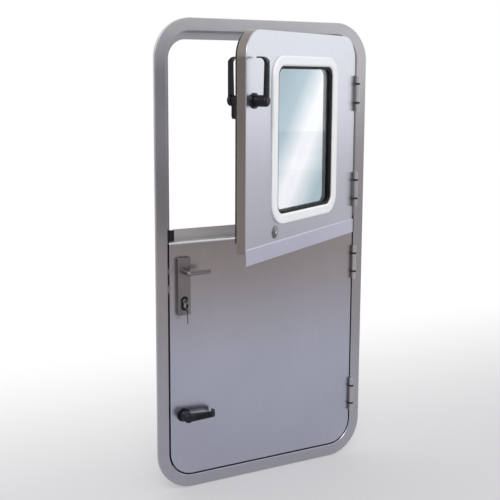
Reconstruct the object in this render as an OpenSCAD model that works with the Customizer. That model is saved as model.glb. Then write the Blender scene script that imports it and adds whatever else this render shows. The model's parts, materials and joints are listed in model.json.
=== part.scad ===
// Two-leaf watertight boat door in its frame: the upper leaf with its window stands open, the lower is shut.
// Lengths are in millimetres, angles in degrees. +Z is up, and the outside of the boat lies towards -Y.
// The origin is at the middle of the frame's bottom edge, on the flange's back, where the wall's skin is.
// Pieces are drawn with the frame's outer face at y = 0 and both leaves shut, and are then set in place.

/* [Frame] */
// Width over the flange
frame_w = 950; // [900:1:1000]
// Height over the flange
frame_h = 1800; // [1740:1:1900]
// Width of the flange's face
flange_w = 47; // [44:0.5:52]
// Thickness of the flange
flange_t = 12; // [10:0.5:16]
// Corner radius of the leaf opening in the flange
opening_r = 101; // [95:1:120]
// Thickness of the web behind the flange
web_t = 6; // [5:0.5:8]
// How far the stop stands in from the flange's edge
stop_w = 30; // [28:0.5:32]
// Thickness of the stop
stop_t = 8; // [6:0.5:10]
// Chamfer on the flange's front edges
flange_chamfer = 2; // [1:0.25:3]

/* [Leaves] */
// Gap between the leaves and the flange
leaf_gap = 6; // [6:0.25:7]
// Thickness of a leaf
leaf_t = 36; // [34:0.5:40]
// Thickness of a leaf's outer pan
pan_t = 3; // [2:0.25:4]
// Thickness of a leaf's inner skin
skin_t = 2; // [1.5:0.25:3]
// Bend radius of a pan's front edges
pan_edge_r = 3; // [2:0.25:4]
// Height of the upper leaf
upper_leaf_h = 767; // [740:1:790]
// Gap between the two leaves
split_gap = 6; // [5:0.25:8]
// Angle at which the upper leaf stands open
upper_open = 28; // [10:1:60]
// Bend radius of the lower leaf's top front edge
ledge_r = 7; // [4:0.5:8]

/* [Seals] */
// Height of the leaf seals
seal_h = 9.7; // [8:0.1:10.5]
// Width of the leaf seals
seal_w = 18; // [14:0.5:19]
// Distance from a leaf's edge to its seal
seal_inset = 3; // [2.5:0.5:5]
// Gap left between a seal and what it closes on
seal_rest_gap = 0.3; // [0.2:0.1:0.6]

/* [Hinges] */
// Radius of a hinge barrel
barrel_r = 9; // [8:0.25:9.5]
// Height of a whole hinge
hinge_h = 137; // [120:1:150]
// Height of a hinge's two end knuckles
end_knuckle_h = 27; // [22:0.5:32]
// Radius of the hinge pins
pin_r = 4; // [3:0.25:5]
// Thickness of the hinge plates
plate_t = 2.5; // [2:0.1:2.6]
// Depth of the hinge plates in the gap
plate_d = 30; // [24:0.5:32]
// Radius of the hinge washers
washer_r = 10; // [9.6:0.1:10.2]
// Thickness of the hinge washers
washer_t = 7; // [5:0.25:9]
// Distance of the hinge line from a leaf's edge
hinge_offset = 4; // [3:0.25:4.5]
// Rise of the bottom hinge above the lower leaf's bottom edge
bottom_hinge_rise = 205; // [180:1:230]
// Drop of the lower middle hinge below the lower leaf's top edge
lower_mid_hinge_drop = 145; // [120:1:170]
// Rise of the upper middle hinge above the upper leaf's bottom edge
upper_mid_hinge_rise = 154; // [130:1:180]
// Drop of the top hinge below the upper leaf's top edge
top_hinge_drop = 224; // [190:1:240]

/* [Window] */
// Width over the window rings
window_w = 500; // [440:1:540]
// Distance from the upper leaf's top edge to the window rings
window_top_gap = 85; // [70:1:110]
// Distance from the upper leaf's bottom edge to the window rings
window_bottom_gap = 81; // [81:1:110]
// Outer corner radius of the window rings
window_r = 75; // [65:1:95]
// Offset of the window to the hinge side
window_x = 5; // [-10:1:20]
// Width of the window rings
ring_w = 36; // [34:0.5:40]
// How far the rings stand proud of the leaf
ring_t = 8; // [6:0.5:10]
// Width of the gasket that shows inside a ring
gasket_w = 10; // [8:0.5:12]
// Thickness of the glass
glass_t = 6; // [5:0.5:8]
// Depth of the glass's middle behind the leaf's outer face
glass_y = 12; // [10:0.5:18]

/* [Meeting edge] */
// Height of the cover strip
strip_h = 58; // [54:0.5:66]
// Thickness of the cover strip
strip_t = 5; // [4:0.25:6]
// How far the strip hangs below the upper leaf
strip_drop = 32.5; // [28:0.5:36]
// How much lower the strip's free end lies than its hinge end, to shed water
strip_fall = 14; // [0:1:16]
// Clearance behind the hanging part of the strip
strip_rebate = 1; // [0.75:0.25:1.5]
// Height of the meeting rail above the lower leaf
rail_rise = 43; // [40:0.5:46]
// Thickness of the meeting rail
rail_t = 5; // [4:0.25:6]
// Clear length between the rail's ends and the frame's stops
rail_end_gap = 15; // [12:0.5:18]

/* [Lock] */
// Distance from the leaf's edge to the lock's centre line
backset = 55; // [53:0.5:58]
// Drop of the lever's spindle below the lower leaf's top edge
lever_drop = 111; // [108:1:130]
// Distance from the lever's spindle down to the lock cylinder
lock_centres = 114; // [105:1:120]
// Width of the lock plates
lock_plate_w = 53; // [50:0.5:55]
// Height of the lock plates
lock_plate_h = 222; // [214:1:226]
// Thickness of the lock plates
lock_plate_t = 16; // [14:0.5:18]
// Length of the lock levers from the spindle
lever_len = 92; // [85:1:100]
// Radius of a lever's bar at its neck
lever_r = 9; // [8:0.25:10]
// Radius of a lever's bar at its tip
lever_tip_r = 7.5; // [6:0.25:9]
// Gap between a lock plate and a lever's bar
lever_gap = 31; // [28:0.5:36]
// Side of the lever's square spindle
spindle_side = 8; // [7:0.5:9]
// Travel of the two bolts
bolt_travel = 12; // [10:0.5:13]

/* [Dogs] */
// Drop of the upper dog's spindle below the upper leaf's top edge
upper_dog_drop = 240; // [220:1:260]
// Rise of the lower dog's spindle above the lower leaf's bottom edge
lower_dog_rise = 245; // [220:1:270]
// Distance from the leaf's edge to the dogs' spindles
dog_backset = 54; // [52:0.5:58]
// Length of the upper dog's grips from the spindle
upper_grip_len = 148; // [130:1:155]
// Length of the lower dog's grips from the spindle
lower_grip_len = 120; // [110:1:140]
// Stand-off of the outer grips from the leaf
grip_standoff = 57; // [52:0.5:62]
// Thickness of a grip
grip_t = 12; // [10:0.5:14]
// Width of a grip at its spindle
grip_root_w = 34; // [30:0.5:36]
// Width of a grip at its end
grip_tip_w = 20; // [18:0.5:26]
// Outer radius of the curl at a grip's end
grip_curl_r = 28; // [24:0.5:32]
// Radius of the dogs' spindles
dog_spindle_r = 8; // [7:0.25:9]
// Radius of the dogs' rosettes
dog_rosette_r = 27; // [25:0.5:29]
// Thickness of the dogs' rosettes
dog_rosette_t = 6; // [4:0.5:8]
// Reach of a dog's tongue from its spindle
tongue_len = 64; // [58:0.5:66]
// Thickness of a dog's tongue
tongue_t = 10; // [8:0.5:12]
// Thickness of the keeper wedges behind the stop
keeper_t = 20; // [16:0.5:24]

/* [Turn latch] */
// Distance of the turn latch from the leaf's free edge
turn_latch_x = 203; // [190:1:220]
// Height of the turn latch above the upper leaf's bottom edge
turn_latch_rise = 56; // [54:0.5:60]
// Radius of the turn latch's rosette
turn_rosette_r = 24; // [21:0.5:25]
// Reach of the turn latch's cam
cam_len = 35; // [32:0.5:38]

/* [Hidden] */
$fn = 64;
eps = 1;
fit = 0.05;
clear = 0.3;

// Plan of the frame and leaves
outer_r = opening_r + flange_w;
opening_w = frame_w - 2 * flange_w;
leaf_inset = flange_w + leaf_gap;
leaf_w = frame_w - 2 * leaf_inset;
leaf_h = frame_h - 2 * leaf_inset;
leaf_r = opening_r - leaf_gap;
leaf_x = leaf_w / 2;
mid_z = frame_h / 2;
leaf_bottom_z = leaf_inset;
leaf_top_z = frame_h - leaf_inset;
upper_z = leaf_top_z - upper_leaf_h;
split_z = upper_z - split_gap;

// Depths from the frame's outer face
stop_y = leaf_t + seal_h + seal_rest_gap;
stop_back_y = stop_y + stop_t;
stop_x = frame_w / 2 - flange_w - stop_w;
keeper_y = stop_back_y + keeper_t;
tongue_gap = 0.5;
tongue_y = keeper_y + tongue_gap;

// Hinge line: over the gap, in front of the face by a little more than the washers' radius
plate_seat_y = 0.5;
hinge_x = leaf_x + hinge_offset;
hinge_y = -washer_r - plate_seat_y;
lower_hinge_z = [leaf_bottom_z + bottom_hinge_rise, split_z - lower_mid_hinge_drop];
upper_hinge_z = [upper_z + upper_mid_hinge_rise, leaf_top_z - top_hinge_drop];

// Hardware on the leaves
lock_x = -leaf_x + backset;
dog_x = -leaf_x + dog_backset;
upper_dog_z = leaf_top_z - upper_dog_drop;
lower_dog_z = leaf_bottom_z + lower_dog_rise;
lever_z = split_z - lever_drop;
cylinder_z = lever_z - lock_centres;
lock_plate_z = (lever_z + cylinder_z) / 2;
bolt_set_back = 4;
bolt_y = leaf_t / 2 + bolt_set_back;
latch_z = lever_z;
dead_drop = 70;
dead_z = lever_z - dead_drop;
latch_size = [12, 18];
dead_size = [14, 24];
bolt_hold = 22;
bolt_len = bolt_travel + bolt_hold;
lever_neck_r = 10;
lever_reach = lock_plate_t + lever_gap;
lock_well_d = 7;
lock_well_w = 31;
lock_well_h = 56;
case_t = 20;
case_back = 24;
case_above = 36;
case_below = 50;
case_back_x = lock_x + case_back;
case_bottom_z = cylinder_z - case_below;
case_top_z = lever_z + case_above;
forend_w = 24;
forend_t = pan_t;
forend_margin = 16;
strike_t = 2;
strike_w = 24;
strike_lip = 1;
strike_y = flange_t + strike_lip + strike_w / 2;
strike_above = 26;
strike_below = 34;
strike_top_z = lever_z + strike_above;
strike_bottom_z = dead_z - strike_below;

// Euro cylinder, plug and keys
cylinder_r = 8.5;
cylinder_tail_w = 10;
cylinder_tail = 24.5;
cylinder_proud = 2;
plug_r = 6.5;
plug_len = 30;
key_t = 2;
key_slot_t = 2.2;
key_blade_h = 8.4;
key_blade_len = 24;
key_bow_r = 11;
key_hole_r = 3.5;
key_ring_r = 11;
key_wire_r = 0.9;
key_hang = 1.6;
key_shoulder = 5;
key_rim = 1.5;
spare_blade_len = 34;
cylinder_front_y = -lock_plate_t - cylinder_proud;
key_bow_y = cylinder_front_y - key_shoulder - key_bow_r;
key_hole_offset = key_bow_r - key_hole_r - key_rim;
key_hole_y = key_bow_y - key_hole_offset;
key_ring_z = cylinder_z - key_hang - key_ring_r;

// Window stack
window_h = upper_leaf_h - window_top_gap - window_bottom_gap;
window_z = upper_z + window_bottom_gap + window_h / 2;
ring_lap = 8;
glass_hold = 8;
hole_inset = ring_w - ring_lap;
gasket_in = ring_w + gasket_w;
glass_inset = gasket_in - glass_hold;
gasket_proud = 1;
window_screw_r = 2.2;
window_screw_head_r = 4.2;
window_screw_head_t = 2.5;

// Strip over the meeting edge
strip_z = upper_z - strip_drop + strip_h / 2;
strip_slope = asin(strip_fall / leaf_w);

// Dogs
dog_neck_r = 20;
dog_neck_edge_r = 10;
inner_arm = 18;
inner_standoff = tongue_y + tongue_t - leaf_t + inner_arm;
grip_inner_r = 20;
grip_crown_r = 22;
horn_gap = 13;
horn_t = 4.5;
horn_tip_r = 4;
tongue_w = 24;
tongue_hub_r = 17;
groove_pitch = 8.5;
groove_r = 2.6;
groove_sink = 1;

// Turn latch
turn_x = -leaf_x + turn_latch_x;
turn_z = upper_z + turn_latch_rise;
turn_spindle_r = 6;
cam_w = 16;
cam_t = 5;
rail_back_y = stop_y + rail_t;
cam_gap = 0.8;
cam_y = rail_back_y + cam_gap;
rail_half = stop_x - rail_end_gap;
rail_top_z = split_z + rail_rise;
rail_foot_h = 50;
block_drop = 2;
rail_foot_z = split_z - rail_foot_h;
block_top_z = rail_top_z - block_drop;

ALUMINIUM = [0.72, 0.73, 0.75];
BRIGHT = [0.86, 0.87, 0.9];
STEEL = [0.5, 0.5, 0.52];
BLACK = [0.1, 0.1, 0.12];
RUBBER = [0.07, 0.07, 0.08];

// Moves a piece from the drawing's depth, measured from the outer face, to the part's own frame.
module on_frame() {
    translate([0, -flange_t, 0]) children();
}

// Swings a piece of the upper leaf open about the hinge line.
module on_upper() {
    on_frame() translate([hinge_x, hinge_y, 0]) rotate([0, 0, upper_open])
        translate([-hinge_x, -hinge_y, 0]) children();
}

// A flat outline in x and z, extruded from depth y0 to depth y1.
module slab(y0, y1) {
    translate([0, y1, 0]) rotate([90, 0, 0]) linear_extrude(y1 - y0) children();
}

// A profile in y and z, extruded along x and centred there.
module bar_x(length) {
    rotate([90, 0, 90]) linear_extrude(length, center = true) children();
}

// A rod along y.
module rod(x, z, r, y0, y1) {
    translate([x, y1, z]) rotate([90, 0, 0]) cylinder(r = r, h = y1 - y0);
}

// A box given by its lowest and highest corners.
module box(low, high) {
    translate(low) cube(high - low);
}

// A centred rectangle with round corners.
module round_rect(w, h, r) {
    difference() {
        square([w, h], center = true);
        for (sx = [-1, 1], sz = [-1, 1])
            translate([sx * (w / 2 - r), sz * (h / 2 - r)]) difference() {
                translate([sx * (r + eps) / 2, sz * (r + eps) / 2]) square(r + eps, center = true);
                circle(r);
            }
    }
}

// A ring that carries a profile round a rectangle with round corners.
// In the profile x runs inwards from the outline and y runs back.
module sweep(w, h, r) {
    for (turn = [0 : 3]) {
        along = turn % 2 == 0 ? w : h;
        across = turn % 2 == 0 ? h : w;
        rotate([0, 90 * turn, 0]) {
            translate([0, 0, -across / 2]) rotate([0, -90, 0])
                linear_extrude(along - 2 * r, center = true) children();
            translate([along / 2 - r, 0, -across / 2 + r]) rotate([-90, 0, 0])
                rotate_extrude(angle = 90) translate([r, 0]) mirror([1, 0]) children();
        }
    }
}

// The shape that is cut away to round an outer corner of a profile.
module corner_cut(r) {
    difference() {
        translate([-eps, -eps]) square(r + eps);
        translate([r, r]) circle(r);
    }
}

// Outline of both leaves together, drawn in by a margin.
module leaves_outline(margin) {
    translate([0, mid_z]) round_rect(leaf_w - 2 * margin, leaf_h - 2 * margin, leaf_r - margin);
}

module lower_outline(margin) {
    intersection() {
        leaves_outline(margin);
        translate([-leaf_w, 0]) square([2 * leaf_w, split_z - margin]);
    }
}

module upper_outline(margin) {
    intersection() {
        leaves_outline(margin);
        translate([-leaf_w, upper_z + margin]) square([2 * leaf_w, frame_h]);
    }
}

// Rounds the front edges of both leaves' pans along their common outline.
module pan_edge_cut() {
    translate([0, 0, mid_z]) sweep(leaf_w, leaf_h, leaf_r) corner_cut(pan_edge_r);
}

// A seal with a flat base and round shoulders. Its base lies at y = 0 and starts at x = 0.
module seal_profile() {
    shoulder_r = 4;
    difference() {
        square([seal_w, seal_h]);
        translate([0, seal_h]) mirror([0, 1]) corner_cut(shoulder_r);
        translate([seal_w, seal_h]) rotate(180) corner_cut(shoulder_r);
    }
}

module leaves_seal() {
    translate([0, leaf_t, mid_z]) sweep(leaf_w, leaf_h, leaf_r) translate([seal_inset, 0]) seal_profile();
}

// Frame

module frame_profile() {
    inner = flange_w + stop_w;
    c = flange_chamfer;
    polygon([
        [c, 0], [flange_w - c, 0], [flange_w, c], [flange_w, stop_y], [inner, stop_y], [inner, stop_back_y],
        [flange_w - web_t, stop_back_y], [flange_w - web_t, flange_t], [0, flange_t], [0, c]
    ]);
}

// A bolt's room from x0 to x1, with a gap all round. The size is across y and z.
module bolt_room(z, size, gap, x0, x1) {
    half_y = size[0] / 2 + gap;
    half_z = size[1] / 2 + gap;
    box([x0, bolt_y - half_y, z - half_z], [x1, bolt_y + half_y, z + half_z]);
}

module bolt_rooms(gap, x0, x1) {
    bolt_room(latch_z, latch_size, gap, x0, x1);
    bolt_room(dead_z, dead_size, gap, x0, x1);
}

strike_x = -frame_w / 2 + flange_w;
strike_screw_z = [strike_bottom_z + 8, strike_top_z - 8];

module strike_screw_holes(gap) {
    for (z = strike_screw_z)
        translate([strike_x - web_t, strike_y, z]) rotate([0, 90, 0]) {
            cylinder(r = 2 + gap, h = web_t);
            translate([0, 0, web_t - 1.2]) cylinder(r = 4 + gap, h = 1.2);
        }
}

module frame() {
    color(ALUMINIUM) on_frame() difference() {
        translate([0, 0, mid_z]) sweep(frame_w, frame_h, outer_r) frame_profile();
        bolt_rooms(2, strike_x - web_t - eps, -leaf_x);
        box([strike_x - strike_t, strike_y - strike_w / 2 - clear, strike_bottom_z - clear],
            [strike_x + eps, strike_y + strike_w / 2 + clear, strike_top_z + clear]);
        strike_screw_holes(fit);
    }
}

module strike_plate() {
    color(STEEL) on_frame() difference() {
        box([strike_x - strike_t, strike_y - strike_w / 2, strike_bottom_z],
            [strike_x, strike_y + strike_w / 2, strike_top_z]);
        bolt_rooms(1, strike_x - web_t, -leaf_x);
        strike_screw_holes(fit);
    }
}

module strike_screws() {
    color(STEEL) on_frame() strike_screw_holes(0);
}

// Wedges behind the stop. A dog's tongue rides up on one from below and pulls the leaf in.
module dog_keepers() {
    keeper_h = 44;
    ramp_h = 16;
    margin = 4;
    low = -keeper_h / 2;
    color(STEEL) on_frame()
        for (z = [lower_dog_z, upper_dog_z])
            translate([-stop_x - stop_w / 2, stop_back_y, z]) bar_x(stop_w - 2 * margin) polygon([
                [0, low], [keeper_t / 2, low], [keeper_t, low + ramp_h], [keeper_t, -low], [0, -low]
            ]);
}

// Hinges

module barrel(z0, z1) {
    translate([hinge_x, hinge_y, z0]) cylinder(r = barrel_r, h = z1 - z0);
}

module pin_bore(z) {
    translate([hinge_x, hinge_y, z - hinge_h]) cylinder(r = pin_r + fit, h = 2 * hinge_h);
}

// Heights of a hinge's knuckles: each row is a lower and an upper end.
function end_knuckles(z) = [
    [z - hinge_h / 2, z - hinge_h / 2 + end_knuckle_h],
    [z + hinge_h / 2 - end_knuckle_h, z + hinge_h / 2]
];
function mid_knuckle(z) = [[
    z - hinge_h / 2 + end_knuckle_h + washer_t + clear,
    z + hinge_h / 2 - end_knuckle_h - washer_t - clear
]];

// A hinge leaf: its knuckles, its plate in the gap, and a neck from the plate to each knuckle.
module hinge_leaf(z, knuckles, x0) {
    difference() {
        union() {
            box([x0, plate_seat_y, z - hinge_h / 2], [x0 + plate_t, plate_d, z + hinge_h / 2]);
            for (k = knuckles) {
                barrel(k[0], k[1]);
                box([x0, hinge_y, k[0]], [x0 + plate_t, plate_seat_y + eps, k[1]]);
            }
        }
        pin_bore(z);
    }
}

module hinge_frame_leaf(z) {
    color(ALUMINIUM) on_frame() hinge_leaf(z, end_knuckles(z), opening_w / 2 - plate_t);
}

module hinge_door_leaf(z) {
    color(ALUMINIUM) hinge_leaf(z, mid_knuckle(z), leaf_x);
}

module hinge_pins() {
    cap_h = 2.5;
    color(STEEL) on_frame()
        for (z = concat(lower_hinge_z, upper_hinge_z))
            translate([hinge_x, hinge_y, z - hinge_h / 2]) {
                cylinder(r = pin_r, h = hinge_h);
                translate([0, 0, hinge_h]) cylinder(r = barrel_r - 2, h = cap_h);
                translate([0, 0, -cap_h]) cylinder(r = barrel_r - 2, h = cap_h);
            }
}

module hinge_washers() {
    color(BLACK) on_frame()
        for (z = concat(lower_hinge_z, upper_hinge_z), side = [-1, 1])
            translate([hinge_x, hinge_y, z + side * (hinge_h / 2 - end_knuckle_h - washer_t / 2)])
                difference() {
                    cylinder(r = washer_r, h = washer_t, center = true);
                    cylinder(r = pin_r + fit, h = washer_t + eps, center = true);
                }
}

// Lower leaf

module cylinder_outline(gap) {
    circle(cylinder_r + gap);
    translate([-cylinder_tail_w / 2 - gap, -cylinder_tail + cylinder_tail_w / 2])
        square([cylinder_tail_w + 2 * gap, cylinder_tail - cylinder_tail_w / 2]);
    translate([0, -cylinder_tail + cylinder_tail_w / 2]) circle(cylinder_tail_w / 2 + gap);
}

module cylinder_hole(gap, y0, y1) {
    translate([lock_x, 0, cylinder_z]) slab(y0, y1) cylinder_outline(gap);
}

module forend_box(gap) {
    box([-leaf_x - eps, bolt_y - forend_w / 2 - gap, case_bottom_z - forend_margin - gap],
        [-leaf_x + forend_t, bolt_y + forend_w / 2 + gap, case_top_z + forend_margin + gap]);
}

module lower_leaf_panel() {
    color(ALUMINIUM) on_frame() difference() {
        slab(0, leaf_t) lower_outline(0);
        slab(pan_t, leaf_t + eps) lower_outline(pan_t);
        pan_edge_cut();
        translate([0, 0, split_z]) mirror([0, 0, 1]) bar_x(2 * leaf_w) corner_cut(ledge_r);
        rod(lock_x, lever_z, lever_neck_r, -eps, pan_t + eps);
        cylinder_hole(clear, -eps, pan_t + eps);
        rod(dog_x, lower_dog_z, dog_spindle_r + clear, -eps, pan_t + eps);
        forend_box(fit);
    }
}

module lower_leaf_inner_skin() {
    color(ALUMINIUM) on_frame() difference() {
        slab(leaf_t - skin_t, leaf_t) lower_outline(pan_t + fit);
        rod(lock_x, lever_z, lever_neck_r, 0, leaf_t + eps);
        cylinder_hole(clear, 0, leaf_t + eps);
        rod(dog_x, lower_dog_z, dog_spindle_r + clear, 0, leaf_t + eps);
    }
}

module lower_leaf_seal() {
    color(RUBBER) on_frame() intersection() {
        leaves_seal();
        box([-leaf_w, 0, 0], [leaf_w, 2 * leaf_t, split_z]);
    }
}

module meeting_rail() {
    foot_y = leaf_t + rail_t;
    color(ALUMINIUM) on_frame() bar_x(2 * rail_half) polygon([
        [leaf_t, rail_foot_z], [foot_y, rail_foot_z], [foot_y, split_z - rail_t],
        [rail_back_y, split_z - rail_t], [rail_back_y, rail_top_z], [stop_y, rail_top_z],
        [stop_y, split_z], [leaf_t, split_z]
    ]);
}

module corner_seal_blocks() {
    block_w = 25;
    block_y = leaf_t + 1;
    color(RUBBER) on_frame()
        for (side = [0, 1])
            mirror([side, 0, 0])
                box([rail_half, block_y, split_z], [rail_half + block_w, stop_y - clear, block_top_z]);
}

// Lock

module lock_case() {
    front_x = -leaf_x + forend_t;
    color(STEEL) on_frame() difference() {
        box([front_x, bolt_y - case_t / 2, case_bottom_z], [case_back_x, bolt_y + case_t / 2, case_top_z]);
        bolt_rooms(clear, front_x - eps, -leaf_x + bolt_len + clear);
        rod(lock_x, lever_z, spindle_side * 0.78, 0, leaf_t);
        cylinder_hole(clear, 0, leaf_t);
    }
}

module lock_forend() {
    color(STEEL) on_frame() difference() {
        intersection() {
            forend_box(0);
            box([-leaf_x, 0, 0], [0, leaf_t, frame_h]);
        }
        bolt_rooms(clear, -leaf_x - eps, -leaf_x + forend_t + eps);
    }
}

// The latch bolt's nose slopes on its inner side, so that it rides over the strike when the leaf shuts.
module latch_bolt() {
    nose = 9;
    tip_t = 2;
    half_y = latch_size[0] / 2;
    color(BRIGHT) on_frame() translate([-leaf_x, bolt_y, latch_z])
        linear_extrude(latch_size[1], center = true) polygon([
            [0, -half_y], [bolt_len, -half_y], [bolt_len, half_y], [nose, half_y], [0, -half_y + tip_t]
        ]);
}

module dead_bolt() {
    color(BRIGHT) on_frame() bolt_room(dead_z, dead_size, 0, -leaf_x, -leaf_x + bolt_len);
}

plate_screw_z = [lock_plate_z - lock_plate_h / 2 + 12, lock_plate_z + lock_plate_h / 2 - 12];

// Outline of the oval well round the cylinder, drawn in by a margin.
module lock_well(margin) {
    w = lock_well_w - 2 * margin;
    translate([lock_x, cylinder_z - cylinder_tail / 3]) round_rect(w, lock_well_h - 2 * margin, w / 2);
}

// A lock plate that stands on y = 0 and faces -y. Its face has an oval well round the cylinder.
module lock_plate() {
    corner_r = 4;
    edge = 2;
    difference() {
        translate([lock_x, 0, lock_plate_z]) slab(-lock_plate_t, 0)
            round_rect(lock_plate_w, lock_plate_h, corner_r);
        translate([lock_x, -lock_plate_t, lock_plate_z])
            sweep(lock_plate_w, lock_plate_h, corner_r) corner_cut(edge);
        rod(lock_x, lever_z, lever_neck_r + fit, -lock_plate_t - eps, eps);
        slab(-lock_plate_t - eps, -lock_plate_t + lock_well_d) lock_well(0);
        cylinder_hole(clear, -lock_plate_t - eps, eps);
        for (z = plate_screw_z) {
            rod(lock_x, z, 2.5 + fit, -lock_plate_t - eps, eps);
            rod(lock_x, z, 4.5 + fit, -lock_plate_t - eps, -lock_plate_t + 2);
        }
    }
}

// Sets a piece drawn on the outer face onto the inner face.
module on_inner_face() {
    translate([0, leaf_t, 0]) mirror([0, 1, 0]) children();
}

// Turns a piece drawn on the outer face round to the inner face.
module turned_inwards() {
    translate([0, leaf_t, 0]) rotate([0, 0, 180]) children();
}

module outer_lock_plate() {
    color(STEEL) on_frame() lock_plate();
}

module inner_lock_plate() {
    color(STEEL) on_frame() on_inner_face() lock_plate();
}

// A black insert in a lock plate's well, set back a little from the plate's face.
module escutcheon() {
    set_back = 2;
    difference() {
        slab(-lock_plate_t + set_back, -lock_plate_t + lock_well_d) lock_well(fit);
        cylinder_hole(clear, -lock_plate_t, 0);
    }
}

module cylinder_escutcheons() {
    color(BLACK) on_frame() {
        escutcheon();
        on_inner_face() escutcheon();
    }
}

module plate_screws() {
    for (z = plate_screw_z) {
        rod(lock_x, z, 2.5, -lock_plate_t + 1.5, 0);
        difference() {
            rod(lock_x, z, 4.5, -lock_plate_t, -lock_plate_t + 2);
            box([lock_x - 5, -lock_plate_t - eps, z - 0.6], [lock_x + 5, -lock_plate_t + 0.8, z + 0.6]);
        }
    }
}

module lock_plate_screws() {
    color(BRIGHT) on_frame() {
        plate_screws();
        on_inner_face() plate_screws();
    }
}

module lock_cylinder() {
    color(BRIGHT) on_frame() difference() {
        cylinder_hole(0, cylinder_front_y, leaf_t - cylinder_front_y);
        rod(lock_x, cylinder_z, plug_r + fit, cylinder_front_y - eps, cylinder_front_y + plug_len + clear);
    }
}

module cylinder_plug() {
    color(BRIGHT) on_frame() difference() {
        rod(lock_x, cylinder_z, plug_r, cylinder_front_y, cylinder_front_y + plug_len);
        box([lock_x - key_slot_t / 2, cylinder_front_y - eps, cylinder_z - key_blade_h / 2 - 0.1],
            [lock_x + key_slot_t / 2, cylinder_front_y + key_blade_len + clear,
             cylinder_z + key_blade_h / 2 + 0.1]);
    }
}

// A flat key: bow, shoulder and blade along +x of the outline, with the bow's middle at the origin.
module key_outline(blade) {
    blade_end = key_bow_r + key_shoulder + blade;
    difference() {
        union() {
            circle(key_bow_r);
            translate([0, -key_blade_h / 2]) square([blade_end, key_blade_h]);
        }
        translate([-key_hole_offset, 0]) circle(key_hole_r);
        for (tooth = [1 : 4])
            translate([blade_end - tooth * blade / 5, key_blade_h / 2]) circle(1 + tooth % 2 * 0.6);
    }
}

module key() {
    color(BRIGHT) on_frame() translate([lock_x, key_bow_y, cylinder_z])
        bar_x(key_t) key_outline(key_blade_len);
}

module key_ring() {
    color(BRIGHT) on_frame() translate([lock_x, key_hole_y, key_ring_z]) rotate([90, 0, 0])
        rotate_extrude() translate([key_ring_r, 0]) circle(key_wire_r);
}

module spare_key() {
    bow_z = key_ring_z - key_ring_r - key_hang - key_hole_offset;
    color(BRIGHT) on_frame() translate([lock_x, key_hole_y, bow_z]) rotate([-90, 0, 0])
        bar_x(key_t) key_outline(spare_blade_len);
}

// A lever on the outer face: a round neck, a ball at the bend and a bar to the hinge side.
module lever() {
    bar_y = -lever_reach - lever_r;
    half = spindle_side / 2 + fit;
    difference() {
        union() {
            rod(lock_x, lever_z, lever_neck_r, bar_y, -pan_t);
            translate([lock_x, bar_y, lever_z]) {
                sphere(lever_neck_r);
                rotate([0, 90, 0]) cylinder(r1 = lever_r, r2 = lever_tip_r, h = lever_len - lever_tip_r);
                translate([lever_len - lever_tip_r, 0, 0]) sphere(lever_tip_r);
            }
        }
        box([lock_x - half, -lever_reach, lever_z - half], [lock_x + half, leaf_t, lever_z + half]);
    }
}

module outer_lever() {
    color(STEEL) on_frame() lever();
}

module inner_lever() {
    color(STEEL) on_frame() on_inner_face() lever();
}

module lever_spindle() {
    half = spindle_side / 2;
    color(STEEL) on_frame()
        box([lock_x - half, -lever_reach, lever_z - half],
            [lock_x + half, leaf_t + lever_reach, lever_z + half]);
}

// Dogs. Each is drawn about its own spindle at x = z = 0, with its grip upwards.

module dog_rosette() {
    edge = 2;
    difference() {
        rod(0, 0, dog_rosette_r, -dog_rosette_t, 0);
        rotate([90, 0, 0]) rotate_extrude()
            translate([dog_rosette_r, dog_rosette_t]) rotate(180) corner_cut(edge);
        rod(0, 0, dog_spindle_r + fit, -dog_rosette_t - eps, eps);
    }
}

// A rectangle from the origin with its far corner rounded.
module far_round(w, h, r) {
    difference() {
        square([w, h]);
        translate([w, h]) rotate(180) corner_cut(r);
    }
}

// Side view of a grip: x is the stand-off from the leaf and y runs along the grip.
// The end curls back to the leaf and thins out to a horn.
module grip_side(length, standoff) {
    difference() {
        far_round(standoff, length, grip_curl_r);
        translate([-eps, -eps]) far_round(standoff - grip_t + eps, length - horn_t + eps, grip_inner_r);
        translate([-eps, 0]) square([horn_gap + eps, length + eps]);
        translate([horn_gap, length]) mirror([0, 1]) corner_cut(horn_tip_r);
    }
}

// Front view of a grip: wide at the spindle and narrow at the end.
module grip_front(length) {
    root = grip_root_w / 2;
    tip = grip_tip_w / 2;
    circle(dog_neck_r);
    polygon([[-root, 0], [root, 0], [tip, length], [-tip, length]]);
}

// Plan of a grip: crowned on its outer side.
module grip_crown(standoff) {
    translate([0, -standoff + grip_crown_r]) circle(grip_crown_r);
    translate([-grip_root_w, -standoff + grip_crown_r]) square([2 * grip_root_w, standoff]);
}

// The grip's round neck, from the given distance off the leaf to the stand-off.
module grip_neck(standoff, neck_start) {
    difference() {
        rod(0, 0, dog_neck_r, -standoff, -neck_start);
        rotate([90, 0, 0]) rotate_extrude()
            translate([dog_neck_r, standoff]) rotate(180) corner_cut(dog_neck_edge_r);
    }
}

// A dog's grip on the outer face: its side, front and plan views meet in one crowned bar with a curled horn.
// Finger grooves run across its outer side.
module dog_grip(length, standoff, neck_start) {
    first_groove = dog_neck_r + groove_pitch;
    grooves = floor((length - grip_curl_r - first_groove) / groove_pitch);
    difference() {
        union() {
            grip_neck(standoff, neck_start);
            intersection() {
                rotate([90, 0, -90])
                    linear_extrude(2 * grip_root_w, center = true) grip_side(length, standoff);
                slab(-standoff - eps, 0) grip_front(length);
                linear_extrude(length + eps) grip_crown(standoff);
            }
        }
        rod(0, 0, dog_spindle_r + fit, -standoff + grip_t / 2, 0);
        for (i = [0 : grooves])
            translate([0, -standoff + groove_sink, first_groove + i * groove_pitch]) rotate([0, 90, 0])
                cylinder(r = groove_r, h = 2 * grip_root_w, center = true);
    }
}

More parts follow.
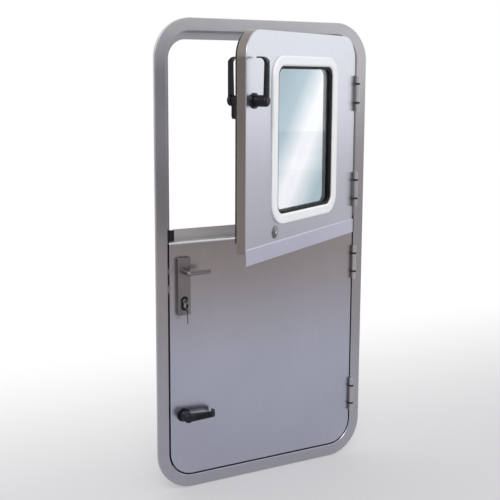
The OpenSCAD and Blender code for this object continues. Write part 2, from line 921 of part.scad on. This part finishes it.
module dog_spindle() {
    rod(0, 0, dog_spindle_r, -grip_standoff + grip_t / 2, leaf_t + inner_standoff - grip_t / 2);
}

// The tongue hangs down, on a boss that stands on the inner rosette.
module dog_tongue() {
    straight = tongue_len - tongue_w / 2;
    difference() {
        union() {
            rod(0, 0, tongue_hub_r, leaf_t + dog_rosette_t + clear, tongue_y + tongue_t);
            slab(tongue_y, tongue_y + tongue_t) {
                translate([-tongue_w / 2, -straight]) square([tongue_w, straight]);
                translate([0, -straight]) circle(tongue_w / 2);
            }
        }
        rod(0, 0, dog_spindle_r + fit, leaf_t, tongue_y + tongue_t + eps);
    }
}

outer_neck = dog_rosette_t + clear;
inner_neck = tongue_y + tongue_t - leaf_t;
lower_grip_turn = 90;

module at_lower_dog() {
    on_frame() translate([dog_x, 0, lower_dog_z]) children();
}

module at_upper_dog() {
    on_upper() translate([dog_x, 0, upper_dog_z]) children();
}

module lower_dog_outer_rosette() {
    color(BLACK) at_lower_dog() dog_rosette();
}

module lower_dog_inner_rosette() {
    color(BLACK) at_lower_dog() on_inner_face() dog_rosette();
}

module lower_dog_outer_grip() {
    color(BLACK) at_lower_dog() rotate([0, lower_grip_turn, 0])
        dog_grip(lower_grip_len, grip_standoff, outer_neck);
}

module lower_dog_inner_grip() {
    color(BLACK) at_lower_dog() turned_inwards() rotate([0, -lower_grip_turn, 0])
        dog_grip(lower_grip_len, inner_standoff, inner_neck);
}

module lower_dog_spindle() {
    color(STEEL) at_lower_dog() dog_spindle();
}

module lower_dog_tongue() {
    color(BLACK) at_lower_dog() dog_tongue();
}

module upper_dog_outer_rosette() {
    color(BLACK) at_upper_dog() dog_rosette();
}

module upper_dog_inner_rosette() {
    color(BLACK) at_upper_dog() on_inner_face() dog_rosette();
}

module upper_dog_outer_grip() {
    color(BLACK) at_upper_dog() dog_grip(upper_grip_len, grip_standoff, outer_neck);
}

module upper_dog_inner_grip() {
    color(BLACK) at_upper_dog() turned_inwards() dog_grip(upper_grip_len, inner_standoff, inner_neck);
}

module upper_dog_spindle() {
    color(STEEL) at_upper_dog() dog_spindle();
}

module upper_dog_tongue() {
    color(BLACK) at_upper_dog() dog_tongue();
}

// Upper leaf

module window_outline(margin) {
    translate([window_x, window_z])
        round_rect(window_w - 2 * margin, window_h - 2 * margin, window_r - margin);
}

module window_sweep() {
    translate([window_x, 0, window_z]) sweep(window_w, window_h, window_r) children();
}

module upper_leaf_panel() {
    color(ALUMINIUM) on_upper() difference() {
        slab(0, leaf_t) upper_outline(0);
        difference() {
            slab(pan_t, leaf_t + eps) upper_outline(pan_t);
            slab(0, leaf_t) window_outline(hole_inset - pan_t);
        }
        slab(-eps, leaf_t + eps) window_outline(hole_inset);
        pan_edge_cut();
        translate([0, 0, upper_z]) bar_x(2 * leaf_w) corner_cut(pan_edge_r);
        rod(dog_x, upper_dog_z, dog_spindle_r + clear, -eps, pan_t + eps);
        rod(turn_x, turn_z, turn_spindle_r + clear, -eps, pan_t + eps);
    }
}

module upper_leaf_inner_skin() {
    color(ALUMINIUM) on_upper() difference() {
        slab(leaf_t - skin_t, leaf_t) upper_outline(pan_t + fit);
        slab(0, leaf_t + eps) window_outline(hole_inset - pan_t - fit);
        rod(dog_x, upper_dog_z, dog_spindle_r + clear, 0, leaf_t + eps);
        rod(turn_x, turn_z, turn_spindle_r + clear, 0, leaf_t + eps);
    }
}

module upper_leaf_seal() {
    color(RUBBER) on_upper() {
        intersection() {
            leaves_seal();
            box([-leaf_w, 0, rail_top_z + 1], [leaf_w, 2 * leaf_t, frame_h]);
        }
        translate([0, leaf_t, upper_z + seal_inset]) rotate([0, -90, 0])
            linear_extrude(2 * (rail_half - 2), center = true) seal_profile();
    }
}

// The strip laps the leaf's foot and hangs clear of the lower leaf. It slopes to the free edge.
module cover_strip() {
    c = 1.5;
    end_gap = 2;
    high = strip_h / 2;
    lap = upper_z - strip_z + strip_fall / 2 + eps;
    color(BRIGHT) on_upper() translate([0, 0, strip_z]) rotate([0, -strip_slope, 0])
        bar_x(leaf_w - 2 * end_gap) polygon([
            [-strip_t, -high + c], [-strip_t + c, -high], [-strip_rebate, -high], [-strip_rebate, lap],
            [0, lap], [0, high], [-strip_t + c, high], [-strip_t, high - c]
        ]);
}

// Profile of a window ring: a flat band with a rounded outer edge and a sloping inner one, standing on y = 0.
module ring_profile() {
    edge = 4;
    slope = 3;
    difference() {
        translate([0, -ring_t]) square([ring_w, ring_t]);
        translate([0, -ring_t]) corner_cut(edge);
        polygon([
            [ring_w - 2 * slope, -ring_t], [ring_w, -ring_t + slope], [ring_w + eps, -ring_t + slope],
            [ring_w + eps, -ring_t - eps], [ring_w - 2 * slope, -ring_t - eps]
        ]);
    }
}

module window_outer_ring() {
    color(BRIGHT) on_upper() window_sweep() ring_profile();
}

// Places of the inner ring's screws: even steps along its straight sides.
screw_line = 15;
screw_half_w = window_w / 2 - screw_line;
screw_half_h = window_h / 2 - screw_line;
screw_run_x = window_w / 2 - window_r;
screw_run_z = window_h / 2 - window_r;
window_screw_places = concat(
    [for (i = [-1 : 1], side = [-1, 1]) [i * screw_run_x, side * screw_half_h]],
    [for (i = [-1 : 2 / 3 : 1.01], side = [-1, 1]) [side * screw_half_w, i * screw_run_z]]
);

module at_window_screws() {
    for (p = window_screw_places)
        translate([window_x + p[0], 0, window_z + p[1]]) children();
}

module window_screw(gap) {
    rod(0, 0, window_screw_r + gap, leaf_t - skin_t, leaf_t + ring_t - 0.5);
    rod(0, 0, window_screw_head_r + gap, leaf_t + ring_t - window_screw_head_t, leaf_t + ring_t);
}

module window_inner_ring() {
    color(BRIGHT) on_upper() difference() {
        on_inner_face() window_sweep() ring_profile();
        at_window_screws() window_screw(fit);
    }
}

module window_screws() {
    color(STEEL) on_upper() at_window_screws() difference() {
        intersection() {
            window_screw(0);
            rod(0, 0, window_screw_head_r + eps, leaf_t, leaf_t + ring_t);
        }
        box([-3, leaf_t + ring_t - 1, -0.5], [3, leaf_t + ring_t + eps, 0.5]);
        box([-0.5, leaf_t + ring_t - 1, -3], [0.5, leaf_t + ring_t + eps, 3]);
    }
}

// The gasket fills the window hole, laps the rings' inner edges and holds the glass in a groove.
module window_gasket() {
    outer = hole_inset + 0.2;
    lip = ring_w + 0.2;
    front = glass_y - glass_t / 2 - 0.1;
    back = glass_y + glass_t / 2 + 0.1;
    groove = glass_inset - 0.2;
    color(RUBBER) on_upper() window_sweep() polygon([
        [outer, 0], [lip, 0], [lip, -gasket_proud], [gasket_in, -gasket_proud], [gasket_in, front],
        [groove, front], [groove, back], [gasket_in, back], [gasket_in, leaf_t + gasket_proud],
        [lip, leaf_t + gasket_proud], [lip, leaf_t], [outer, leaf_t]
    ]);
}

module window_glass() {
    color([0.75, 0.88, 0.9, 0.5]) on_upper()
        slab(glass_y - glass_t / 2, glass_y + glass_t / 2) window_outline(glass_inset);
}

// Turn latch on the upper leaf, drawn about its own spindle at x = z = 0.
// Its cam drops behind the meeting rail.

module at_turn_latch() {
    on_upper() translate([turn_x, 0, turn_z]) children();
}

turn_rosette_t = 7;
cam_hub_r = 10;

// A domed rosette.
module turn_latch_rosette() {
    dome_r = (turn_rosette_r * turn_rosette_r + turn_rosette_t * turn_rosette_t) / (2 * turn_rosette_t);
    color(BRIGHT) at_turn_latch() difference() {
        rotate([90, 0, 0]) rotate_extrude() intersection() {
            translate([0, turn_rosette_t - dome_r]) circle(dome_r, $fn = 4 * $fn);
            square([turn_rosette_r, turn_rosette_t]);
        }
        rod(0, 0, turn_spindle_r + fit, -turn_rosette_t - eps, eps);
    }
}

module turn_latch_spindle() {
    color(BRIGHT) at_turn_latch() difference() {
        rod(0, 0, turn_spindle_r, -turn_rosette_t + 0.5, cam_y + cam_t + 6);
        box([-turn_spindle_r - eps, -turn_rosette_t, -1], [turn_spindle_r + eps, -turn_rosette_t + 2.5, 1]);
    }
}

module turn_latch_cam() {
    color(STEEL) at_turn_latch() difference() {
        union() {
            rod(0, 0, cam_hub_r, leaf_t + clear, cam_y + cam_t);
            slab(cam_y, cam_y + cam_t) {
                translate([0, -cam_w / 2]) square([cam_len - cam_w / 2, cam_w]);
                translate([cam_len - cam_w / 2, 0]) circle(cam_w / 2);
            }
        }
        rod(0, 0, turn_spindle_r + fit, leaf_t, cam_y + cam_t + eps);
    }
}

module turn_latch_knob() {
    base = cam_y + cam_t;
    wing_h = 20;
    wing_w = 36;
    color(BLACK) at_turn_latch() difference() {
        union() {
            rod(0, 0, cam_hub_r, base, base + 8);
            slab(base + 4, base + wing_h) round_rect(wing_w, 9, 4);
        }
        rod(0, 0, turn_spindle_r + fit, base - eps, base + 6);
    }
}

frame();
strike_plate();
strike_screws();
dog_keepers();
hinge_pins();
hinge_washers();
hinge_frame_leaf(lower_hinge_z[0]);  // bottom_hinge_frame_leaf
hinge_frame_leaf(lower_hinge_z[1]);  // lower_mid_hinge_frame_leaf
hinge_frame_leaf(upper_hinge_z[0]);  // upper_mid_hinge_frame_leaf
hinge_frame_leaf(upper_hinge_z[1]);  // top_hinge_frame_leaf
on_frame() hinge_door_leaf(lower_hinge_z[0]);  // bottom_hinge_door_leaf
on_frame() hinge_door_leaf(lower_hinge_z[1]);  // lower_mid_hinge_door_leaf
on_upper() hinge_door_leaf(upper_hinge_z[0]);  // upper_mid_hinge_door_leaf
on_upper() hinge_door_leaf(upper_hinge_z[1]);  // top_hinge_door_leaf
lower_leaf_panel();
lower_leaf_inner_skin();
lower_leaf_seal();
meeting_rail();
corner_seal_blocks();
lock_case();
lock_forend();
outer_lock_plate();
inner_lock_plate();
lock_plate_screws();
lock_cylinder();
cylinder_escutcheons();
cylinder_plug();
key();
key_ring();
spare_key();
outer_lever();
inner_lever();
lever_spindle();
latch_bolt();
dead_bolt();
lower_dog_outer_rosette();
lower_dog_inner_rosette();
lower_dog_outer_grip();
lower_dog_inner_grip();
lower_dog_spindle();
lower_dog_tongue();
upper_leaf_panel();
upper_leaf_inner_skin();
upper_leaf_seal();
cover_strip();
window_outer_ring();
window_inner_ring();
window_gasket();
window_glass();
window_screws();
upper_dog_outer_rosette();
upper_dog_inner_rosette();
upper_dog_outer_grip();
upper_dog_inner_grip();
upper_dog_spindle();
upper_dog_tongue();
turn_latch_rosette();
turn_latch_spindle();
turn_latch_knob();
turn_latch_cam();
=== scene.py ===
import json
import math

import bpy
from mathutils import Matrix, Vector

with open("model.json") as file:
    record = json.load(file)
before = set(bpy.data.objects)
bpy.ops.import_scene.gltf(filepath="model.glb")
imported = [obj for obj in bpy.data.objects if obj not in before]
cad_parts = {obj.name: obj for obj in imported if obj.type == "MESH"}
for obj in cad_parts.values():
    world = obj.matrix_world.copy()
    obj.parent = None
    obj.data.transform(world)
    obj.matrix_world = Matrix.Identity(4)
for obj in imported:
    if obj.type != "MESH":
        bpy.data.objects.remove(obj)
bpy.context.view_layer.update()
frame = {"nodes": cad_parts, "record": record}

nodes = frame["nodes"]

# Camera: the place and lens at which the frame's edges fall on those of the photograph.
CAM_AT = (-2.084, -3.3886, 1.5866)
CAM_YAW, CAM_PITCH, CAM_ROLL = 30.80, 9.636, -0.26
CAM_LENS_MM, CAM_SENSOR_MM = 73.36, 36.0
CAM_CLIP_END = 60.0

# Noise lies mostly between these two values, over which tones and gloss are spread.
NOISE_LOW, NOISE_HIGH = 0.3, 0.7
# Cosine of the turn from a face's own normal to the softened one, where a rubbed edge starts and where it is full.
EDGE_START, EDGE_FULL = 0.995, 0.75
# Cosine of the turn from the way a sheet faces, where the painted shade on its side faces starts and where it is
# full.
SIDE_START, SIDE_FULL = 0.6, 0.1
# How much paler rubbed edges are than the surface.
METAL_RUB, COAT_RUB = 1.7, 2.5
# Shares of a metal's change of tone that its fine lines and its slow clouds take.
LINE_SHARE, CLOUD_SHARE = 0.5, 1.2
# How far the roughness strays from its middle value.
METAL_GLOSS, COAT_GLOSS = (-0.05, 0.05), (-0.06, 0.08)
GLASS_ROUGH, GLASS_IOR = (0.0, 0.03), 1.45

# The way the upper leaf's outer face looks at rest.
UPPER_LEAF_WAY = (0.469, -0.883, 0.0)
# The slant of the painted reflection band on the glass, in the part's own frame: down and to the hinge side, in
# metres along that line.
GLASS_SHEEN_SLANT, GLASS_SHEEN_RUN = (1.337, 0.0, -0.952), (-1.72, -0.72)

# Floor: sizes and places in metres, then its own colours and what it shows to the eye, at the front and the back.
# What it shows is dimmer at the front and around the door's foot, a painted shade there and in the leaves'
# reflection of it.
FLOOR_REACH, FLOOR_FRONT, FLOOR_AT = 14.0, 4.0, -0.002
FLOOR_FADE = (-0.5, 2.2)
FLOOR_TONE, FLOOR_TONE_BACK = (0.42, 0.42, 0.43), (0.05, 0.05, 0.05)
FLOOR_GLOW_FRONT, FLOOR_GLOW_BACK = (0.17, 0.16, 0.16), (0.90, 0.90, 0.90)
FLOOR_ROUGH = 0.8

# Surroundings: tones from left to right at eye level, the tone overhead, and where each goes over to the next.
SIDE_TONES = [(0.0, (0.26, 0.23, 0.22)), (0.70, (0.44, 0.41, 0.41)), (0.82, (0.76, 0.75, 0.76)),
              (1.0, (0.86, 0.87, 0.90))]
TOP_TONE, BACK_TONE = (0.97, 0.98, 1.0), (1.0, 1.0, 1.0)
TOP_FADE, BACK_FADE = (-0.04, 0.2), (0.38, 0.62)


def add_camera():
    yaw, pitch, roll = (math.radians(a) for a in (CAM_YAW, CAM_PITCH, CAM_ROLL))
    ahead = Vector((math.sin(yaw) * math.cos(pitch), math.cos(yaw) * math.cos(pitch), -math.sin(pitch)))
    level = Vector((math.cos(yaw), -math.sin(yaw), 0.0))
    down = ahead.cross(level)
    right = math.cos(roll) * level + math.sin(roll) * down
    down = -math.sin(roll) * level + math.cos(roll) * down
    cam = bpy.data.objects.new("camera", bpy.data.cameras.new("camera"))
    cam.matrix_world = Matrix.Translation(CAM_AT) @ Matrix((right, -down, -ahead)).transposed().to_4x4()
    cam.data.sensor_width = CAM_SENSOR_MM
    cam.data.lens = CAM_LENS_MM
    cam.data.clip_end = CAM_CLIP_END
    bpy.context.collection.objects.link(cam)
    bpy.context.scene.camera = cam


# Shader helpers

def new_material(name):
    mat = bpy.data.materials.new(name)
    mat.use_nodes = True
    tree = mat.node_tree
    return mat, tree, tree.nodes["Principled BSDF"]


def add(tree, kind, **values):
    """A shader node with the given values. Names with a capital letter are input sockets."""
    node = tree.nodes.new(kind)
    for key, value in values.items():
        if key[0].isupper():
            node.inputs[key.replace("_", " ")].default_value = value
        else:
            setattr(node, key, value)
    return node


def ramp(tree, source, stops):
    """A colour for each value of the source, between stops of a place and a colour."""
    node = tree.nodes.new("ShaderNodeValToRGB")
    marks = node.color_ramp.elements
    while len(marks) < len(stops):
        marks.new(0.5)
    for mark, (at, colour) in zip(marks, stops):
        mark.position = at
        mark.color = (*colour, 1.0)
    tree.links.new(source, node.inputs["Fac"])
    return node.outputs["Color"]


def noise(tree, coords, scale, stretch=(1, 1, 1), detail=4.0, rough=0.55):
    """Noise over the object's own coordinates, drawn out along some axes."""
    mapping = add(tree, "ShaderNodeMapping")
    mapping.inputs["Scale"].default_value = stretch
    tree.links.new(coords, mapping.inputs["Vector"])
    node = add(tree, "ShaderNodeTexNoise", Scale=scale, Detail=detail, Roughness=rough)
    tree.links.new(mapping.outputs["Vector"], node.inputs["Vector"])
    return node.outputs["Fac"]


def tint(colour, k):
    return tuple(min(1.0, c * k) for c in colour)


def grey(value):
    return (value, value, value)


def turn(tree, normal, way):
    """Cosine of the angle between a normal and a direction. The direction is a socket or a plain vector."""
    node = add(tree, "ShaderNodeVectorMath", operation="DOT_PRODUCT")
    tree.links.new(normal, node.inputs[0])
    if isinstance(way, bpy.types.NodeSocket):
        tree.links.new(way, node.inputs[1])
    else:
        node.inputs[1].default_value = way
    return node.outputs["Value"]


def mapped(tree, value, low, high, to_low=0.0, to_high=1.0, **values):
    """The value spread from one run of numbers over another, and held at its ends."""
    node = add(tree, "ShaderNodeMapRange", From_Min=low, From_Max=high, To_Min=to_low, To_Max=to_high, **values)
    tree.links.new(value, node.inputs["Value"])
    return node.outputs["Result"]


def slope(tree, coords, along, low, high):
    """0 at the low end and 1 at the high end of a run along a direction."""
    return mapped(tree, turn(tree, coords, along), low, high, interpolation_type="SMOOTHSTEP")


def worn_edges(tree, radius):
    """Normals that run softly round sharp edges, and how near an edge a point lies."""
    soft = add(tree, "ShaderNodeBevel", samples=4, Radius=radius).outputs["Normal"]
    flat = add(tree, "ShaderNodeNewGeometry").outputs["Normal"]
    return soft, mapped(tree, turn(tree, soft, flat), EDGE_START, EDGE_FULL)


def blend(tree, share, a, b, blend_type="MIX"):
    """Colour a going over to b. Each is a socket or a plain value."""
    node = add(tree, "ShaderNodeMix", data_type="RGBA", blend_type=blend_type)
    for value, name in ((share, "Factor"), (a, "A"), (b, "B")):
        if isinstance(value, bpy.types.NodeSocket):
            tree.links.new(value, node.inputs[name])
        else:
            node.inputs[name].default_value = (*value, 1.0) if isinstance(value, tuple) else value
    return node.outputs["Result"]


def math_node(tree, operation, value, other):
    """A sum on a value and a second one, which is a socket or a plain number."""
    node = add(tree, "ShaderNodeMath", operation=operation)
    tree.links.new(value, node.inputs[0])
    if isinstance(other, bpy.types.NodeSocket):
        tree.links.new(other, node.inputs[1])
    else:
        node.inputs[1].default_value = other
    return node.outputs["Value"]


def set_gloss(tree, bsdf, uneven, low, high):
    """Roughness between two values, after an uneven noise."""
    tree.links.new(mapped(tree, uneven, NOISE_LOW, NOISE_HIGH, low, high), bsdf.inputs["Roughness"])


def set_bump(tree, bsdf, height, normal, strength, distance):
    node = add(tree, "ShaderNodeBump", Strength=strength, Distance=distance)
    tree.links.new(height, node.inputs["Height"])
    tree.links.new(normal, node.inputs["Normal"])
    tree.links.new(node.outputs["Normal"], bsdf.inputs["Normal"])


# Finishes

def brushed(name, colour, rough, grain, vary=0.05, over=(), shaded_sides=None):
    """Brushed metal: fine lines along one axis, slow clouds of tone, small changes of gloss, rubbed edges.

    Each row of over is a second colour and the run of heights over which the metal's tone goes over to it, painted
    light and shade by height.
    sides is the way a sheet faces and the colour of the painted shade on its side faces.
    """
    mat, tree, bsdf = new_material(name)
    place = add(tree, "ShaderNodeTexCoord")
    coords = place.outputs["Object"]
    lines = noise(tree, coords, 1.0, stretch=grain, detail=3.0, rough=0.65)
    cloud = noise(tree, coords, 1.6, detail=3.0, rough=0.5)
    tone = colour
    # The bands by height are painted light and shade.
    for other, low, high in over:
        tone = blend(tree, slope(tree, coords, (0, 0, 1), low, high), tone, other)
    # The side faces of the sheet are painted darker, a painted shade.
    if shaded_sides:
        way, side_shade = shaded_sides
        square = math_node(tree, "ABSOLUTE", turn(tree, place.outputs["Normal"], way), 0.0)
        tone = blend(tree, mapped(tree, square, SIDE_START, SIDE_FULL), tone, side_shade)
    for value, share in ((lines, LINE_SHARE), (cloud, CLOUD_SHARE)):
        change = ramp(tree, value, [(NOISE_LOW, grey(1 - share * vary)), (NOISE_HIGH, grey(1 + share * vary))])
        tone = blend(tree, 1.0, tone, change, "MULTIPLY")
    normal, near = worn_edges(tree, 0.0012)
    tone = blend(tree, math_node(tree, "MULTIPLY", near, 0.5), tone, tint(colour, METAL_RUB))
    tree.links.new(tone, bsdf.inputs["Base Color"])
    set_gloss(tree, bsdf, cloud, *(rough + stray for stray in METAL_GLOSS))
    bsdf.inputs["Metallic"].default_value = 1.0
    set_bump(tree, bsdf, lines, normal, strength=0.03, distance=0.0003)
    return mat


def coated(name, colour, rough, grain_scale, strength, vary=0.2, wear=0.35, sheen=0.5):
    """Painted, moulded or rubber surface: fine grain, uneven tone and gloss, paler rubbed edges."""
    mat, tree, bsdf = new_material(name)
    coords = add(tree, "ShaderNodeTexCoord").outputs["Object"]
    grain = noise(tree, coords, grain_scale, detail=2.0, rough=0.6)
    cloud = noise(tree, coords, 14.0, detail=4.0, rough=0.6)
    uneven = ramp(tree, cloud, [(NOISE_LOW, tint(colour, 1 - vary)), (0.72, tint(colour, 1 + vary))])
    normal, near = worn_edges(tree, 0.0015)
    tone = blend(tree, math_node(tree, "MULTIPLY", near, wear), uneven, tint(colour, COAT_RUB))
    tree.links.new(tone, bsdf.inputs["Base Color"])
    set_gloss(tree, bsdf, cloud, *(rough + stray for stray in COAT_GLOSS))
    bsdf.inputs["Specular IOR Level"].default_value = sheen
    set_bump(tree, bsdf, grain, normal, strength=strength, distance=0.0006)
    return mat


def clear_glass(name, dark, bright):
    """Tinted glass with a painted reflection: a paler slanting band, and a little unevenness in its tint."""
    mat, tree, bsdf = new_material(name)
    coords = add(tree, "ShaderNodeTexCoord").outputs["Object"]
    run = slope(tree, coords, GLASS_SHEEN_SLANT, *GLASS_SHEEN_RUN)
    tone = ramp(tree, run, [(0.0, dark), (0.2, tint(dark, 1.25)), (0.46, bright), (0.62, bright),
                            (0.9, tint(dark, 1.2)), (1.0, tint(dark, 1.1))])
    haze = noise(tree, coords, 9.0, detail=3.0, rough=0.5)
    uneven = ramp(tree, haze, [(NOISE_LOW, grey(0.95)), (NOISE_HIGH, grey(1.0))])
    tree.links.new(blend(tree, 1.0, tone, uneven, "MULTIPLY"), bsdf.inputs["Base Color"])
    set_gloss(tree, bsdf, haze, *GLASS_ROUGH)
    bsdf.inputs["IOR"].default_value = GLASS_IOR
    bsdf.inputs["Transmission Weight"].default_value = 1.0
    return mat


# Frame: bluish grey low down, darker from 0.2 to 0.8 m up and paler again from 1.2 to 1.7 m, painted shade and a
# painted reflection by height.
FRAME_ALU = brushed("frame_aluminium", (0.42, 0.42, 0.47), 0.34, (6, 6, 300),
                    over=[((0.36, 0.34, 0.35), 0.2, 0.8), ((0.57, 0.565, 0.585), 1.2, 1.7)])
# Lower leaf: bluish grey low down and darker brown-grey from 0.45 to 0.93 m up, a painted reflection; the thin
# pale band at 0.964 to 0.970 m is a painted highlight along its top ledge.
LOWER_ALU = brushed("lower_leaf_aluminium", (0.46, 0.47, 0.56), 0.30, (260, 260, 5),
                    over=[((0.37, 0.335, 0.335), 0.45, 0.93), ((0.90, 0.90, 0.90), 0.964, 0.970)])
# Upper leaf: a paler copy of the lower leaf's aluminium, a painted brighter reflection; its paler cool top from
# 1.3 to 1.7 m is a painted reflection, and its side faces get a painted dark brown shade.
UPPER_ALU = brushed("upper_leaf_aluminium", (0.53, 0.53, 0.59), 0.30, (260, 260, 5),
                    over=[((0.54, 0.555, 0.59), 1.3, 1.7)], shaded_sides=(UPPER_LEAF_WAY, (0.27, 0.235, 0.22)))
RAIL_ALU = brushed("rail_aluminium", (0.62, 0.60, 0.58), 0.36, (5, 260, 260))
HINGE_ALU = brushed("hinge_aluminium", (0.46, 0.45, 0.45), 0.38, (300, 300, 12))
STRIP = brushed("strip_silver", (0.58, 0.575, 0.68), 0.30, (5, 300, 300), vary=0.03)
POLISHED = brushed("polished_steel", (0.80, 0.80, 0.82), 0.18, (200, 200, 200), vary=0.04)
CHROME = brushed("dark_chrome", (0.17, 0.17, 0.19), 0.16, (200, 200, 200), vary=0.06)
STEEL = brushed("stainless", (0.58, 0.58, 0.59), 0.30, (300, 300, 300), vary=0.08)
LOCK = brushed("lock_metal", (0.23, 0.215, 0.22), 0.36, (420, 420, 8), vary=0.10)
KEY = brushed("key_metal", (0.30, 0.29, 0.28), 0.30, (300, 300, 300), vary=0.12)
RING = coated("ring_white", (0.88, 0.885, 0.90), 0.35, 500.0, 0.06, vary=0.03, wear=0.0)
BLACK = coated("black_casting", (0.006, 0.006, 0.011), 0.36, 900.0, 0.12, sheen=0.28)
RUBBER = coated("seal_rubber", (0.012, 0.012, 0.014), 0.62, 700.0, 0.3, sheen=0.25)
WASHER = coated("washer_plastic", (0.012, 0.012, 0.014), 0.5, 700.0, 0.2, sheen=0.3)
GLASS = clear_glass("window_glass", (0.33, 0.43, 0.48), (0.93, 0.95, 0.98))

LOOKS = {
    "frame_aluminium": FRAME_ALU, "leaf_aluminium": LOWER_ALU, "bright_trim": RING, "stainless": STEEL,
    "lock_metal": LOCK, "key_metal": KEY, "black_casting": BLACK, "seal_rubber": RUBBER,
    "washer_plastic": WASHER, "window_glass": GLASS,
}
OWN_LOOKS = {
    "upper_leaf_panel": UPPER_ALU, "upper_leaf_inner_skin": UPPER_ALU, "cover_strip": STRIP,
    "meeting_rail": RAIL_ALU, "turn_latch_rosette": CHROME, "turn_latch_spindle": POLISHED,
    "lock_plate_screws": LOCK,
}

for part in frame["record"]["subparts"]:
    name = part["node"]
    look = OWN_LOOKS.get(name, LOOKS[part["material_slot"]])
    if name.endswith(("hinge_frame_leaf", "hinge_door_leaf")):
        look = HINGE_ALU
    nodes[name].data.materials.clear()
    nodes[name].data.materials.append(look)


# Stage: floor, surroundings and lamps

def shown(tree):
    """1 for what is looked at straight, in a mirror or through glass, 0 for what only lights the door."""
    path = add(tree, "ShaderNodeLightPath")
    value = path.outputs["Is Camera Ray"]
    for name in ("Is Glossy Ray", "Is Transmission Ray"):
        value = math_node(tree, "MAXIMUM", value, path.outputs[name])
    return value


def pale_floor():
    """A floor that looks white and still takes the door's shadow. It dims towards the front and is greyer round
    the door's foot: painted shade.
    """
    mesh = bpy.data.meshes.new("floor")
    corners = [(-FLOOR_REACH, -FLOOR_FRONT, 0), (FLOOR_REACH, -FLOOR_FRONT, 0),
               (FLOOR_REACH, FLOOR_REACH, 0), (-FLOOR_REACH, FLOOR_REACH, 0)]
    mesh.from_pydata(corners, [], [(0, 1, 2, 3)])
    floor = bpy.data.objects.new("floor", mesh)
    floor.location.z = FLOOR_AT
    bpy.context.collection.objects.link(floor)
    mat, tree, bsdf = new_material("floor")
    coords = add(tree, "ShaderNodeTexCoord").outputs["Object"]
    back = slope(tree, coords, (0, 1, 0), *FLOOR_FADE)
    tree.links.new(blend(tree, back, FLOOR_GLOW_FRONT, FLOOR_GLOW_BACK), bsdf.inputs["Emission Color"])
    tree.links.new(shown(tree), bsdf.inputs["Emission Strength"])
    tree.links.new(blend(tree, back, FLOOR_TONE, FLOOR_TONE_BACK), bsdf.inputs["Base Color"])
    bsdf.inputs["Roughness"].default_value = FLOOR_ROUGH
    mesh.materials.append(mat)


def studio_world():
    """White behind the door. In front it is dim and warm at eye level, brighter to the right and overhead."""
    world = bpy.data.worlds.new("studio")
    bpy.context.scene.world = world
    world.use_nodes = True
    tree = world.node_tree
    way = add(tree, "ShaderNodeTexCoord").outputs["Generated"]
    across = mapped(tree, turn(tree, way, (1, 0, 0)), -1.0, 1.0)
    sky = blend(tree, slope(tree, way, (0, 0, 1), *TOP_FADE), ramp(tree, across, SIDE_TONES), TOP_TONE)
    tone = blend(tree, slope(tree, way, (0, 1, 0), *BACK_FADE), sky, BACK_TONE)
    tree.links.new(tone, tree.nodes["Background"].inputs["Color"])


def softbox(name, at, aim, size, watts, colour=(1, 1, 1)):
    lamp = bpy.data.lights.new(name, "AREA")
    lamp.shape = "RECTANGLE"
    lamp.size, lamp.size_y = size
    lamp.energy = watts
    lamp.color = colour
    obj = bpy.data.objects.new(name, lamp)
    obj.location = at
    obj.rotation_euler = (Vector(aim) - Vector(at)).to_track_quat("-Z", "Y").to_euler()
    bpy.context.collection.objects.link(obj)


add_camera()
pale_floor()
studio_world()
softbox("side_light", at=(4.2, -0.8, 2.6), aim=(0, -0.2, 1.5), size=(3.0, 3.0), watts=16, colour=(0.97, 0.98, 1.0))
softbox("key_light", at=(-2.4, -4.2, 4.4), aim=(0, 0, 1.0), size=(2.4, 2.0), watts=110)

bpy.context.scene.view_settings.view_transform = "Standard"
